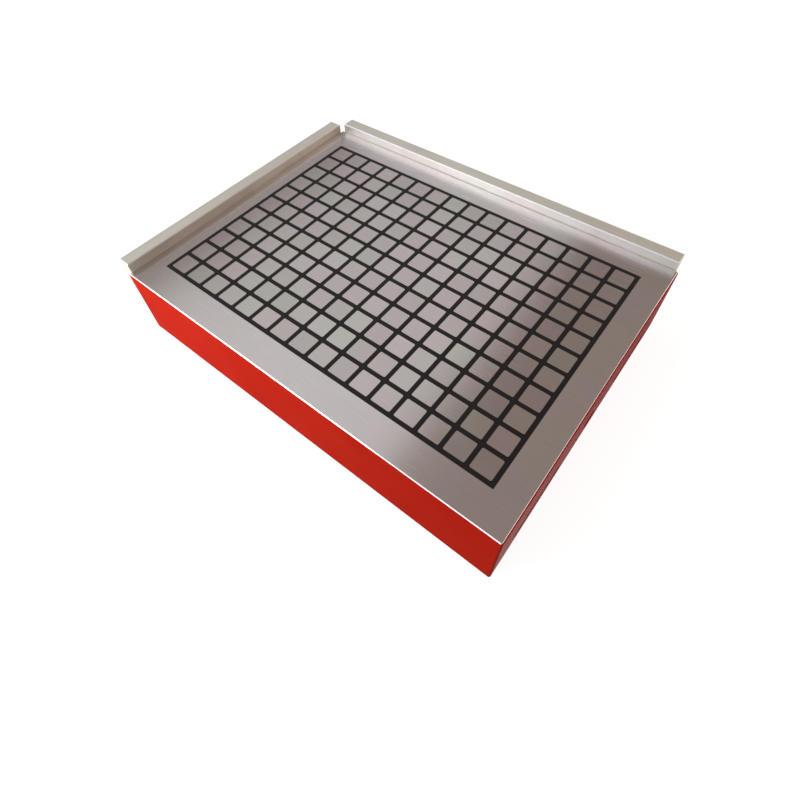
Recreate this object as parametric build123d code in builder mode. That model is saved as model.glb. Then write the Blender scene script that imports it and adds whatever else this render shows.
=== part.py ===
from build123d import *
from build123d.topology import SkipClean
import os
from math import acos, cos, pi, radians, sin, tan

# Permanent magnetic chuck with square poles and two stop rails, in millimetres.
#
# The origin is the centre of the underside. +Z is up, +X points to the end with the hex socket
# and +Y to the side with the long stop rail.
#
# A tray of magnets slides along Y under the poles, by one pole spacing. At rest its rows oppose
# the fixed magnets and the chuck is off. A half turn of the hex socket moves the tray one row
# on, where both sets of magnets work together and hold the workpiece.

os.makedirs("parts", exist_ok=True)

# Overall size of the housing
body_length = 400.0
body_width = 300.0
body_height = 75.0
edge_chamfer = 1.2

# Working face: square poles with resin between them, and the bare margins round the field
pole_size = 18.0
resin_width = 4.0
right_margin = 24.0
back_margin = 26.0
least_left_margin = 16.0
least_front_margin = 22.0
resin_depth = 4.0

# Inside of the housing
ledge = 4.0
cavity_corner = 8.0
base_thickness = 10.0
base_inset = 6.0
base_corner = 6.0
seal_width = 5.0
seal_thickness = 1.0
separator_thickness = 1.5
fitting_gap = 0.2

# Sliding tray
yoke_thickness = 8.0
magnet_height = 8.0
magnet_gap = 0.5
magnet_blocks = 4
tray_wall = 4.0
slide_clearance = 0.1
guide_leg = 4.0
guide_foot = 4.0
guide_reach = 8.0

# Rack and pinion drive: the teeth of a half turn cover one pole spacing
pinion_teeth = 14
pressure_angle = 20.0
addendum_factor = 0.8
dedendum_factor = 1.05
backlash = 0.15
pinion_width = 14.0
rack_teeth = 12
rack_width = 12.0
rack_inset = 67.0
rack_back = 10.0

# Switch shaft, its bearings and its stop
shaft_y = 0.0
head_diameter = 18.0
head_recess = 1.0
core_diameter = 11.0
journal_diameter = 10.0
collar_rim = 1.5
collar_width = 6.0
collar_play = 0.2
socket_flats = 10.0
socket_depth = 14.0
running_clearance = 0.05
bush_wall = 3.0
bush_length = 12.0
bush_floor_gap = 1.0
end_bush_wall = 2.0
bearing_width = 14.0
bearing_offset = 28.0
bearing_cheek = 10.0
bearing_crown = 4.0
stop_arm_length = 10.0
stop_channel_play = 1.5
stop_pin_diameter = 4.0
stop_pin_reach = 13.0
stop_play = 0.3

# Round cover in the right end face
cover_diameter = 40.0
cover_thickness = 4.0
cover_hole_play = 0.5

# Stop rails, which slide in height on their screws: socket head screws, whose heads and keys
# are in a fixed ratio to their thread
rail_thickness = 14.0
rail_height = 40.0
rail_rise = 9.0
rail_travel = 10.0
rail_chamfer = 0.8
left_rail_front_setback = 3.5
left_rail_back_setback = 4.0
back_rail_setback = 3.0
rail_screw_diameter = 8.0
rail_screw_length = 16.0
rail_screw_rise = 14.0
rail_screw_play = 0.4
left_rail_screw_inset = 60.0
back_rail_screw_inset = 70.0
head_ratio = 1.625
key_ratio = 0.8
head_cover = 0.4
thread_runout = 2.0

# Clamping slots in both ends, for hold-down clamps
clamp_slot_length = 70.0
clamp_slot_height = 10.0
clamp_slot_depth = 9.0
clamp_slot_z = 19.0
clamp_slot_inset = 65.0

# Field of poles
pole_spacing = pole_size + resin_width
pole_columns = int((body_length - right_margin - least_left_margin - resin_width) // pole_spacing)
pole_rows = int((body_width - back_margin - least_front_margin - resin_width) // pole_spacing)
field_length = pole_columns * pole_spacing + resin_width
field_width = pole_rows * pole_spacing + resin_width
field_x = body_length / 2 - right_margin - field_length / 2
field_y = body_width / 2 - back_margin - field_width / 2
poles_length = field_length - 2 * resin_width

# Rack and pinion
tooth_pitch = 2 * pole_spacing / pinion_teeth
module = tooth_pitch / pi
pitch_radius = pinion_teeth * module / 2
addendum = addendum_factor * module
dedendum = dedendum_factor * module

# Heights, from the underside up
bush_radius = head_diameter / 2 + bush_wall
shaft_z = base_thickness + bush_floor_gap + bush_radius
yoke_z = shaft_z + pitch_radius + rack_back
tray_frame_z = yoke_z + yoke_thickness
separator_z = tray_frame_z + magnet_height + magnet_gap
pole_z = separator_z + separator_thickness
pole_height = body_height - pole_z
fixed_magnet_height = pole_height - resin_depth

# Cavity and tray in plan
cavity_length = field_length + 2 * ledge
cavity_width = field_width + 2 * ledge
cavity_left = field_x - cavity_length / 2
cavity_right = field_x + cavity_length / 2
tray_length = cavity_length - 2 * guide_leg - 2 * slide_clearance
tray_rows = pole_rows - 1
tray_width = tray_rows * pole_spacing - resin_width + 2 * tray_wall
tray_y = field_y - pole_spacing / 2
rack_left_x = cavity_left + rack_inset
rack_right_x = cavity_right - rack_inset
rack_y = shaft_y - pole_spacing / 2

# Planes and lines that several pieces share
shaft_axis = Axis((0, shaft_y, shaft_z), (1, 0, 0))
shaft_profile_plane = Plane(origin=(0, shaft_y, shaft_z), x_dir=(1, 0, 0), z_dir=(0, -1, 0))
bearing_x = rack_left_x - bearing_offset
end_bush_radius = journal_diameter / 2 + end_bush_wall
bearing_half_width = end_bush_radius + bearing_cheek


def cap_screw(diameter, length):
    """Socket head screw with its seat at the origin and its shank along -Z."""
    with BuildPart() as screw:
        with BuildSketch():
            Circle(diameter / 2)
        extrude(amount=-length)
        with BuildSketch():
            Circle(head_ratio * diameter / 2)
        extrude(amount=diameter)
        with BuildSketch(Plane.XY.offset(diameter)):
            RegularPolygon(key_ratio * diameter / 2, 6, major_radius=False)
        extrude(amount=-diameter / 2, mode=Mode.SUBTRACT)
    return screw


def across_shaft(x):
    """Plane across the shaft at x, with its origin on the shaft's axis and its Y up."""
    return Plane(origin=(x, shaft_y, shaft_z), x_dir=(0, 1, 0), z_dir=(1, 0, 0))


# Stop rails in plan, and their screws
rail_z = body_height + rail_rise - rail_height
rail_screw_z = rail_z + rail_screw_rise
left_rail_length = body_width - left_rail_front_setback - left_rail_back_setback
left_rail_y = (left_rail_front_setback - left_rail_back_setback) / 2
back_rail_length = body_length - 2 * back_rail_setback
rail_counterbore = rail_screw_diameter + head_cover
rail_seat = rail_thickness - rail_counterbore
left_rail_face = -body_length / 2 - rail_thickness
back_rail_face = body_width / 2 + rail_thickness
left_screw_ys = [side * (body_width / 2 - left_rail_screw_inset) for side in (-1, 1)]
back_screw_xs = [side * (body_length / 2 - back_rail_screw_inset) for side in (-1, 0, 1)]
left_screw_seats = [
    Plane(origin=(-body_length / 2 - rail_seat, y, rail_screw_z), x_dir=(0, -1, 0), z_dir=(-1, 0, 0))
    for y in left_screw_ys
]
back_screw_seats = [
    Plane(origin=(x, body_width / 2 + rail_seat, rail_screw_z), x_dir=(-1, 0, 0), z_dir=(0, 1, 0))
    for x in back_screw_xs
]
rail_thread_depth = rail_screw_length + thread_runout
rail_slot_width = rail_screw_diameter + 2 * rail_screw_play
rail_head_slot_width = head_ratio * rail_screw_diameter + 2 * rail_screw_play

# Guide strips on the end walls, which stop short of the cavity's round corners
guide_length = cavity_width - 2 * cavity_corner
guide_top = yoke_z - slide_clearance

# Seat of the round cover
cover_seat_x = body_length / 2 - cover_thickness


# Housing: one block of steel, milled from below, with a window for the poles in its top
with BuildPart() as housing:
    with BuildSketch():
        Rectangle(body_length, body_width)
    extrude(amount=body_height)
    chamfer(housing.edges().filter_by(Axis.Z), edge_chamfer)
    chamfer(housing.edges().group_by(Axis.Z)[-1], edge_chamfer)
    chamfer(housing.edges().group_by(Axis.Z)[0], edge_chamfer)
    with BuildSketch():
        RectangleRounded(body_length - 2 * base_inset, body_width - 2 * base_inset, base_corner)
    extrude(amount=base_thickness, mode=Mode.SUBTRACT)
    with BuildSketch(Plane.XY.offset(base_thickness)):
        with Locations((field_x, field_y)):
            RectangleRounded(cavity_length, cavity_width, cavity_corner)
    extrude(amount=pole_z - base_thickness, mode=Mode.SUBTRACT)
    with BuildSketch(Plane.XY.offset(pole_z)):
        with Locations((field_x, field_y)):
            Rectangle(field_length, field_width)
    extrude(amount=pole_height, mode=Mode.SUBTRACT)
    with Locations(left_screw_seats + back_screw_seats):
        Hole(rail_screw_diameter / 2, rail_thread_depth)
    with BuildSketch(across_shaft(cavity_right)):
        Circle(bush_radius)
    extrude(amount=cover_seat_x - cavity_right, mode=Mode.SUBTRACT)
    with BuildSketch(across_shaft(cover_seat_x)):
        Circle(cover_diameter / 2)
    extrude(amount=cover_thickness, mode=Mode.SUBTRACT)
    for end in (-1, 1):
        with BuildSketch(Plane.YZ.offset(end * body_length / 2)):
            with Locations((0, clamp_slot_z)):
                with GridLocations(body_width - 2 * clamp_slot_inset, 0, 2, 1):
                    SlotOverall(clamp_slot_length, clamp_slot_height)
        extrude(amount=-end * clamp_slot_depth, mode=Mode.SUBTRACT)
housing.part.label = "housing"
export_step(housing.part, "parts/housing.step")

# Base plate: closes the housing from below, flush with its underside
with BuildPart() as base_plate:
    with BuildSketch():
        RectangleRounded(body_length - 2 * base_inset, body_width - 2 * base_inset, base_corner)
    extrude(amount=base_thickness)
    with BuildSketch(Plane.XY.offset(base_thickness)):
        with Locations((field_x, field_y)):
            RectangleRounded(
                cavity_length + 2 * seal_width, cavity_width + 2 * seal_width, cavity_corner + seal_width
            )
            RectangleRounded(cavity_length, cavity_width, cavity_corner, mode=Mode.SUBTRACT)
    extrude(amount=-seal_thickness, mode=Mode.SUBTRACT)
base_plate.part.label = "base_plate"
export_step(base_plate.part, "parts/base_plate.step")

# Rubber seal in a groove of the base plate, round the cavity
with BuildPart() as base_seal:
    with BuildSketch(Plane.XY.offset(base_thickness)):
        with Locations((field_x, field_y)):
            RectangleRounded(
                cavity_length + 2 * seal_width, cavity_width + 2 * seal_width, cavity_corner + seal_width
            )
            RectangleRounded(cavity_length, cavity_width, cavity_corner, mode=Mode.SUBTRACT)
    extrude(amount=-seal_thickness)
base_seal.part.label = "base_seal"
export_step(base_seal.part, "parts/base_seal.step")

# Poles: rows of separate square steel blocks, flush with the ground top face
for row in range(pole_rows):
    row_name = f"pole_row_{row + 1:02d}"
    row_y = field_y + (row - (pole_rows - 1) / 2) * pole_spacing
    with BuildPart() as pole_row:
        with BuildSketch(Plane.XY.offset(pole_z)):
            with Locations((field_x, row_y)):
                with GridLocations(pole_spacing, 0, pole_columns, 1):
                    Rectangle(pole_size, pole_size)
        extrude(amount=pole_height)
    pole_row.part.label = row_name
    export_step(pole_row.part, f"parts/{row_name}.step")

# Resin cast round the poles, with the magnet strips embedded in it from below
with BuildPart() as resin_grid:
    with BuildSketch(Plane.XY.offset(pole_z)):
        with Locations((field_x, field_y)):
            Rectangle(field_length, field_width)
            with GridLocations(pole_spacing, pole_spacing, pole_columns, pole_rows):
                Rectangle(pole_size, pole_size, mode=Mode.SUBTRACT)
    extrude(amount=pole_height)
    with BuildSketch(Plane.XY.offset(pole_z)):
        with Locations((field_x, field_y)):
            with GridLocations(0, pole_spacing, 1, pole_rows - 1):
                Rectangle(poles_length, resin_width)
    extrude(amount=fixed_magnet_height, mode=Mode.SUBTRACT)
resin_grid.part.label = "resin_grid"
export_step(resin_grid.part, "parts/resin_grid.step")

# Fixed magnets: one strip between each two rows of poles
with BuildPart() as fixed_magnets:
    with BuildSketch(Plane.XY.offset(pole_z)):
        with Locations((field_x, field_y)):
            with GridLocations(0, pole_spacing, 1, pole_rows - 1):
                Rectangle(poles_length, resin_width)
    extrude(amount=fixed_magnet_height)
fixed_magnets.part.label = "fixed_magnets"
export_step(fixed_magnets.part, "parts/fixed_magnets.step")

# Brass sheet that carries the pole block on the housing's ledge
with BuildPart() as separator_sheet:
    with BuildSketch(Plane.XY.offset(separator_z)):
        with Locations((field_x, field_y)):
            RectangleRounded(
                cavity_length - 2 * fitting_gap, cavity_width - 2 * fitting_gap, cavity_corner
            )
    extrude(amount=separator_thickness)
separator_sheet.part.label = "separator_sheet"
export_step(separator_sheet.part, "parts/separator_sheet.step")

# Yoke: the steel plate under the moving magnets
with BuildPart() as tray_yoke:
    with BuildSketch(Plane.XY.offset(yoke_z)):
        with Locations((field_x, tray_y)):
            Rectangle(tray_length, tray_width)
    extrude(amount=yoke_thickness)
tray_yoke.part.label = "tray_yoke"
export_step(tray_yoke.part, "parts/tray_yoke.step")

# Aluminium frame that spaces the rows of moving magnets
with BuildPart() as tray_frame:
    with BuildSketch(Plane.XY.offset(tray_frame_z)):
        with Locations((field_x, tray_y)):
            Rectangle(tray_length, tray_width)
            with GridLocations(0, pole_spacing, 1, tray_rows):
                Rectangle(poles_length, pole_size, mode=Mode.SUBTRACT)
    extrude(amount=magnet_height)
tray_frame.part.label = "tray_frame"
export_step(tray_frame.part, "parts/tray_frame.step")


def moving_magnets(first_row):
    """Every second row of the tray's magnets, from first_row on, each a line of blocks."""
    block_length = poles_length / magnet_blocks
    row_places = [
        (field_x, tray_y + (row - (tray_rows - 1) / 2) * pole_spacing)
        for row in range(first_row, tray_rows, 2)
    ]
    with BuildPart() as magnets:
        with BuildSketch(Plane.XY.offset(tray_frame_z)):
            with Locations(row_places):
                with GridLocations(block_length, 0, magnet_blocks, 1):
                    Rectangle(block_length - fitting_gap, pole_size)
        extrude(amount=magnet_height)
    return magnets


# Moving magnets, whose polarity changes from row to row
moving_magnets_north = moving_magnets(0)
moving_magnets_north.part.label = "moving_magnets_north"
export_step(moving_magnets_north.part, "parts/moving_magnets_north.step")
moving_magnets_south = moving_magnets(1)
moving_magnets_south.part.label = "moving_magnets_south"
export_step(moving_magnets_south.part, "parts/moving_magnets_south.step")


def rack_points():
    """Outline of a rack across its width, from its back and round its teeth, in Y and Z."""
    pitch_line = shaft_z + pitch_radius
    quarter = (tooth_pitch - backlash) / 4
    slope = tan(radians(pressure_angle))
    half_length = rack_teeth * tooth_pitch / 2
    points = [(rack_y + half_length, yoke_z), (rack_y - half_length, yoke_z)]
    points.append((rack_y - half_length, pitch_line + dedendum))
    for tooth in range(rack_teeth):
        y = rack_y + (tooth - (rack_teeth - 1) / 2) * tooth_pitch
        points.append((y - quarter - slope * dedendum, pitch_line + dedendum))
        points.append((y - quarter + slope * addendum, pitch_line - addendum))
        points.append((y + quarter - slope * addendum, pitch_line - addendum))
        points.append((y + quarter + slope * dedendum, pitch_line + dedendum))
    points.append((rack_y + half_length, pitch_line + dedendum))
    return points


def drive_rack(x):
    """Rack screwed to the underside of the yoke."""
    with BuildPart() as rack:
        with BuildSketch(Plane.YZ.offset(x - rack_width / 2)):
            with BuildLine():
                Polyline(*rack_points(), close=True)
            make_face()
        extrude(amount=rack_width)
    return rack


drive_rack_left = drive_rack(rack_left_x)
drive_rack_left.part.label = "drive_rack_left"
export_step(drive_rack_left.part, "parts/drive_rack_left.step")
drive_rack_right = drive_rack(rack_right_x)
drive_rack_right.part.label = "drive_rack_right"
export_step(drive_rack_right.part, "parts/drive_rack_right.step")


def involute(angle):
    """Involute function of a pressure angle in radians."""
    return tan(angle) - angle


def pinion_points():
    """Outline of the pinion about its own centre, with a gap at the top of the circle."""
    base_radius = pitch_radius * cos(radians(pressure_angle))
    half_tooth = pi / (2 * pinion_teeth) - backlash / (4 * pitch_radius)
    half_base = half_tooth + involute(radians(pressure_angle))
    half_tip = half_base - involute(acos(base_radius / (pitch_radius + addendum)))
    flank = [
        (pitch_radius - dedendum, half_base),
        (pitch_radius, half_tooth),
        (pitch_radius + addendum, half_tip),
    ]
    points = []
    for tooth in range(pinion_teeth):
        centre = pi / 2 + (tooth + 0.5) * 2 * pi / pinion_teeth
        for radius, half in flank:
            points.append((radius * cos(centre - half), radius * sin(centre - half)))
        for radius, half in reversed(flank):
            points.append((radius * cos(centre + half), radius * sin(centre + half)))
    return points


# Switch shaft: turned from one bar, with both pinions cut in it and the hex socket in its head
stop_x = bearing_x + bearing_width / 2 + stop_arm_length / 2
with BuildPart() as switch_shaft:
    journal_start = bearing_x - bearing_width / 2
    journal_end = bearing_x + bearing_width / 2 + collar_play
    collar_end = cavity_right - collar_play
    head_end = body_length / 2 - head_recess
    with BuildSketch(shaft_profile_plane):
        with BuildLine():
            Polyline(
                (journal_start, 0),
                (journal_start, journal_diameter / 2),
                (journal_end, journal_diameter / 2),
                (journal_end, core_diameter / 2),
                (collar_end - collar_width, core_diameter / 2),
                (collar_end - collar_width, head_diameter / 2 + collar_rim),
                (collar_end, head_diameter / 2 + collar_rim),
                (collar_end, head_diameter / 2),
                (head_end, head_diameter / 2),
                (head_end, 0),
                close=True,
            )
        make_face()
    revolve(axis=shaft_axis)
    for rack_x in (rack_left_x, rack_right_x):
        with BuildSketch(across_shaft(rack_x - pinion_width / 2)):
            with BuildLine():
                Polyline(*pinion_points(), close=True)
            make_face()
        extrude(amount=pinion_width)
    with BuildSketch(across_shaft(head_end)):
        RegularPolygon(socket_flats / 2, 6, major_radius=False)
    extrude(amount=-socket_depth, mode=Mode.SUBTRACT)
    with BuildSketch(Plane.XZ.offset(-shaft_y)):
        with Locations((stop_x, shaft_z)):
            Circle(stop_pin_diameter / 2)
    extrude(amount=core_diameter, both=True, mode=Mode.SUBTRACT)
switch_shaft.part.label = "switch_shaft"
export_step(switch_shaft.part, "parts/switch_shaft.step")

# Stop pin across the shaft: it lands on one arm of the bearing block at each end of the turn
with BuildPart() as stop_pin:
    with BuildSketch(Plane.XZ.offset(stop_pin_reach - shaft_y)):
        with Locations((stop_x, shaft_z)):
            Circle(stop_pin_diameter / 2)
    extrude(amount=-stop_pin_reach - core_diameter / 2)
stop_pin.part.label = "stop_pin"
export_step(stop_pin.part, "parts/stop_pin.step")


def ring(start, end, outer_radius, inner_radius):
    """Round ring about the shaft, from start to end along X."""
    with BuildPart() as part:
        with BuildSketch(across_shaft(start)):
            Circle(outer_radius)
            Circle(inner_radius, mode=Mode.SUBTRACT)
        extrude(amount=end - start)
    return part


# Bronze bush in the right wall, against which the shaft's collar runs
head_bore = head_diameter / 2 + running_clearance
shaft_bush = ring(cavity_right, cavity_right + bush_length, bush_radius, head_bore)
shaft_bush.part.label = "shaft_bush"
export_step(shaft_bush.part, "parts/shaft_bush.step")

# Rubber seal between the bush and the cover
shaft_seal = ring(cavity_right + bush_length, cover_seat_x, bush_radius, head_bore)
shaft_seal.part.label = "shaft_seal"
export_step(shaft_seal.part, "parts/shaft_seal.step")

# Bronze bush at the far end of the shaft
end_bush = ring(
    bearing_x - bearing_width / 2,
    bearing_x + bearing_width / 2,
    end_bush_radius,
    journal_diameter / 2 + running_clearance,
)
end_bush.part.label = "end_bush"
export_step(end_bush.part, "parts/end_bush.step")

# Round cover, flush in the right end face, that holds the seal
with BuildPart() as socket_cover:
    with BuildSketch(across_shaft(cover_seat_x)):
        Circle(cover_diameter / 2)
        Circle(head_diameter / 2 + cover_hole_play, mode=Mode.SUBTRACT)
    extrude(amount=cover_thickness)
socket_cover.part.label = "socket_cover"
export_step(socket_cover.part, "parts/socket_cover.step")

# Bearing block on the base plate, with the two arms on which the stop pin lands
with BuildPart() as bearing_block:
    bearing_top = shaft_z + end_bush_radius + bearing_crown
    with BuildSketch(Plane.YZ.offset(bearing_x - bearing_width / 2)) as bearing_profile:
        with Locations((shaft_y, base_thickness)):
            Rectangle(
                2 * bearing_half_width, bearing_top - base_thickness, align=(Align.CENTER, Align.MIN)
            )
        fillet(bearing_profile.vertices().group_by(Axis.Y)[-1], end_bush_radius)
        with Locations((shaft_y, shaft_z)):
            Circle(end_bush_radius, mode=Mode.SUBTRACT)
    extrude(amount=bearing_width)
    arm_top = shaft_z - stop_pin_diameter / 2 - stop_play
    channel_floor = shaft_z - core_diameter / 2 - stop_channel_play
    with BuildSketch(Plane.YZ.offset(bearing_x + bearing_width / 2)):
        with Locations((shaft_y, base_thickness)):
            Rectangle(
                2 * bearing_half_width, arm_top - base_thickness, align=(Align.CENTER, Align.MIN)
            )
        with Locations((shaft_y, channel_floor)):
            Rectangle(
                core_diameter + 2 * stop_channel_play,
                arm_top - channel_floor,
                align=(Align.CENTER, Align.MIN),
                mode=Mode.SUBTRACT,
            )
    extrude(amount=stop_arm_length)
bearing_block.part.label = "bearing_block"
export_step(bearing_block.part, "parts/bearing_block.step")


def guide_strip(wall_x, inward):
    """Brass angle strip on an end wall: its leg lines the wall, its foot carries the tray."""
    with BuildPart() as strip:
        with BuildSketch(Plane.XZ.offset(-field_y)):
            with Locations((wall_x, guide_top - guide_foot)):
                across = Align.MIN if inward > 0 else Align.MAX
                Rectangle(guide_reach, guide_foot, align=(across, Align.MIN))
                Rectangle(guide_leg, separator_z - guide_top + guide_foot, align=(across, Align.MIN))
        extrude(amount=guide_length / 2, both=True)
    return strip


guide_strip_left = guide_strip(cavity_left, 1)
guide_strip_left.part.label = "guide_strip_left"
export_step(guide_strip_left.part, "parts/guide_strip_left.step")
guide_strip_right = guide_strip(cavity_right, -1)
guide_strip_right.part.label = "guide_strip_right"
export_step(guide_strip_right.part, "parts/guide_strip_right.step")


def stop_rail(outer_plane, length, screw_offsets):
    """Ground plate with counterbored height slots, drawn on its outer face.

    The plane's X runs along the rail and its Z points away from the housing. Its Y is up, from
    the height of the working face. The crown above that height is added last and not merged, so
    that its inner side is a face of its own: the stop face, which lies clear of the housing.
    """
    with BuildPart() as crown:
        with BuildSketch(outer_plane):
            Rectangle(length, rail_rise, align=(Align.CENTER, Align.MIN))
        extrude(amount=-rail_thickness)
        chamfer(crown.edges().group_by(Axis.Z)[-1], rail_chamfer)
    slot_y = rail_screw_z + rail_travel / 2 - body_height
    slot_places = [(offset, slot_y) for offset in screw_offsets]
    with SkipClean(), BuildPart() as rail:
        with BuildSketch(outer_plane):
            Rectangle(length, rail_height - rail_rise, align=(Align.CENTER, Align.MAX))
        extrude(amount=-rail_thickness)
        add(crown.part, clean=False)
        with BuildSketch(outer_plane):
            with Locations(slot_places):
                SlotCenterToCenter(rail_travel, rail_slot_width, rotation=90)
        extrude(amount=-rail_thickness, mode=Mode.SUBTRACT, clean=False)
        with BuildSketch(outer_plane):
            with Locations(slot_places):
                SlotCenterToCenter(rail_travel, rail_head_slot_width, rotation=90)
        extrude(amount=-rail_counterbore, mode=Mode.SUBTRACT, clean=False)
    return rail


# Left stop rail, on the left end of the housing
left_outer_plane = Plane(
    origin=(left_rail_face, left_rail_y, body_height), x_dir=(0, -1, 0), z_dir=(-1, 0, 0)
)
left_stop_rail = stop_rail(left_outer_plane, left_rail_length, [left_rail_y - y for y in left_screw_ys])
left_stop_rail.part.label = "left_stop_rail"
export_step(left_stop_rail.part, "parts/left_stop_rail.step")

# Back stop rail, on the long back side of the housing
back_outer_plane = Plane(origin=(0, back_rail_face, body_height), x_dir=(-1, 0, 0), z_dir=(0, 1, 0))
back_stop_rail = stop_rail(back_outer_plane, back_rail_length, back_screw_xs)
back_stop_rail.part.label = "back_stop_rail"
export_step(back_stop_rail.part, "parts/back_stop_rail.step")

# Screws of the rails, which stay in the housing while a rail slides
rail_screw = cap_screw(rail_screw_diameter, rail_screw_length)
with BuildPart() as left_stop_screws:
    with Locations(left_screw_seats):
        add(rail_screw.part)
left_stop_screws.part.label = "left_stop_screws"
export_step(left_stop_screws.part, "parts/left_stop_screws.step")

with BuildPart() as back_stop_screws:
    with Locations(back_screw_seats):
        add(rail_screw.part)
back_stop_screws.part.label = "back_stop_screws"
export_step(back_stop_screws.part, "parts/back_stop_screws.step")
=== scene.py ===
# %% [markdown]
# # A magnetic chuck, dressed for the camera
#
# The chuck is a red enamelled steel block. Its top is ground bare and holds 176 square poles in
# black resin, and two bare steel rails stand above it to line up the work. Its real shapes come
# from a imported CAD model, so this script only adds what a solid can't say: rounded pole corners,
# small screws, the finish of each metal, a floor and the light.

import math

import bmesh
import bpy
from mathutils import Matrix, Vector


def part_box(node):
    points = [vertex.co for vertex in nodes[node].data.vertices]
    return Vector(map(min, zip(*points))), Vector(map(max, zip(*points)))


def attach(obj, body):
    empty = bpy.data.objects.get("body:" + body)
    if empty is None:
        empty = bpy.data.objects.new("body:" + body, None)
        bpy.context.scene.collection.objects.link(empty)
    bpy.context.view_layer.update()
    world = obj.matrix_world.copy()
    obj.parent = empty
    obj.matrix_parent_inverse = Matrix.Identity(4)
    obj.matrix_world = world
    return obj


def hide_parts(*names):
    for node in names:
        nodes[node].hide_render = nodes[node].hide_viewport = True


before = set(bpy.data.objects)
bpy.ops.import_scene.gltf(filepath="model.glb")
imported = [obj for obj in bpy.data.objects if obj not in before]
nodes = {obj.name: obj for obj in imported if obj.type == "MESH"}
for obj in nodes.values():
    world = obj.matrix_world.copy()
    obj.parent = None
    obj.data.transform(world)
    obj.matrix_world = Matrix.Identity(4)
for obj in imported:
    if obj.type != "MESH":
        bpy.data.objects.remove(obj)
scene = bpy.context.scene
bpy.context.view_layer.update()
print("pieces in the frame:", len(nodes))

# %% [markdown]
# ## Sizes
#
# Blender works in metres and a machinist in millimetres, so one constant turns one into the
# other. Places are read from the frame where it holds them, and other sizes are named at the top
# of the cell that uses them.

# %% Sizes read from the frame
MM = 0.001


def as_vectors(box):
    """The two corners of a box as vectors."""
    low, high = box
    return Vector(low), Vector(high)


housing_low, housing_high = as_vectors(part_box("housing"))
resin_low, resin_high = as_vectors(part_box("resin_grid"))
row_names = sorted(name for name in nodes if name.startswith("pole_row_"))
first_row_low, first_row_high = as_vectors(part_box(row_names[0]))
second_row_low, _ = as_vectors(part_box(row_names[1]))
pole_spacing = second_row_low.y - first_row_low.y
pole_size = first_row_high.y - first_row_low.y
line_half = (pole_spacing - pole_size) / 2
pole_columns = round((first_row_high.x - first_row_low.x + 2 * line_half) / pole_spacing)
top_z = housing_high.z
print("poles:", pole_columns, "by", len(row_names), "at", round(pole_spacing / MM, 2), "mm")

# %% [markdown]
# ## Camera
#
# The photograph was taken from above the front right corner with a short lens. A fit of the
# pole grid to the picture gave the place, the aim and the focal length. The lens axis isn't in
# the middle of the picture, because it was cropped, so the camera has a small shift.

# %% Camera
IMAGE_WIDTH = 800
FOCAL_PIXELS = 533.07
AXIS_PIXEL = (391.26, 335.20)
CAMERA_PLACE = Vector((219.19, -266.95, 418.31)) * MM
CAMERA_FORWARD = Vector((-0.40769, 0.47137, -0.78205)).normalized()
CAMERA_UP = Vector((-0.47013, 0.62587, 0.62231)).normalized()

camera_data = bpy.data.cameras.new("photo_camera")
camera_data.sensor_width = 36.0
camera_data.lens = FOCAL_PIXELS / IMAGE_WIDTH * camera_data.sensor_width
camera_data.shift_x = (IMAGE_WIDTH / 2 - AXIS_PIXEL[0]) / IMAGE_WIDTH
camera_data.shift_y = (AXIS_PIXEL[1] - IMAGE_WIDTH / 2) / IMAGE_WIDTH
camera_data.clip_start = 10 * MM
camera = bpy.data.objects.new("photo_camera", camera_data)
scene.collection.objects.link(camera)
camera_right = CAMERA_FORWARD.cross(CAMERA_UP).normalized()
camera_up = camera_right.cross(CAMERA_FORWARD)
turn = Matrix((camera_right, camera_up, -CAMERA_FORWARD)).transposed()
camera.matrix_world = Matrix.Translation(CAMERA_PLACE) @ turn.to_4x4()
scene.camera = camera
print("lens:", round(camera_data.lens, 2), "mm")

# %% [markdown]
# ## Colours and nodes
#
# A colour picker gives sRGB values, and a shader wants linear ones. One function turns a hex
# value into the linear colour. A second one adds a shader node with its settings and links, so
# that a material below reads as a list of what it does. A Mix node keeps sockets for every kind
# of value: numbers go in at 2 and 3 and come out at 0, vectors at 4, 5 and 1, and colours at 6,
# 7 and 2.

# %% Helpers for colours and nodes
MIX_VALUES = {"data_type": "FLOAT"}
MIX_VECTORS = {"data_type": "VECTOR"}
MIX_COLOURS = {"data_type": "RGBA"}
MULTIPLY_COLOURS = {"data_type": "RGBA", "blend_type": "MULTIPLY"}


def linear(hex_colour):
    """The linear colour of an sRGB hex value."""
    channels = [int(hex_colour[start:start + 2], 16) / 255 for start in (1, 3, 5)]
    rgb = [c / 12.92 if c <= 0.04045 else ((c + 0.055) / 1.055) ** 2.4 for c in channels]
    return (*rgb, 1.0)


def add_node(tree, kind, settings=None, inputs=None, output=0):
    """Adds a shader node, its inputs as values or as links from sockets, and gives an output."""
    node = tree.nodes.new("ShaderNode" + kind)
    for name, value in (settings or {}).items():
        setattr(node, name, value)
    for name, value in (inputs or {}).items():
        if isinstance(value, bpy.types.NodeSocket):
            tree.links.new(value, node.inputs[name])
        else:
            node.inputs[name].default_value = value
    return node.outputs[output]


def feed(tree, shader, sockets):
    """Links each socket to the shader's input of its name."""
    for name, socket in sockets.items():
        tree.links.new(socket, shader.inputs[name])


def new_material(name):
    """A material with its tree, its Principled shader and a socket with Object coordinates."""
    material = bpy.data.materials.new(name)
    material.use_nodes = True
    tree = material.node_tree
    shader = tree.nodes["Principled BSDF"]
    place = add_node(tree, "TexCoord", output="Object")
    return material, tree, shader, place


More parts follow.
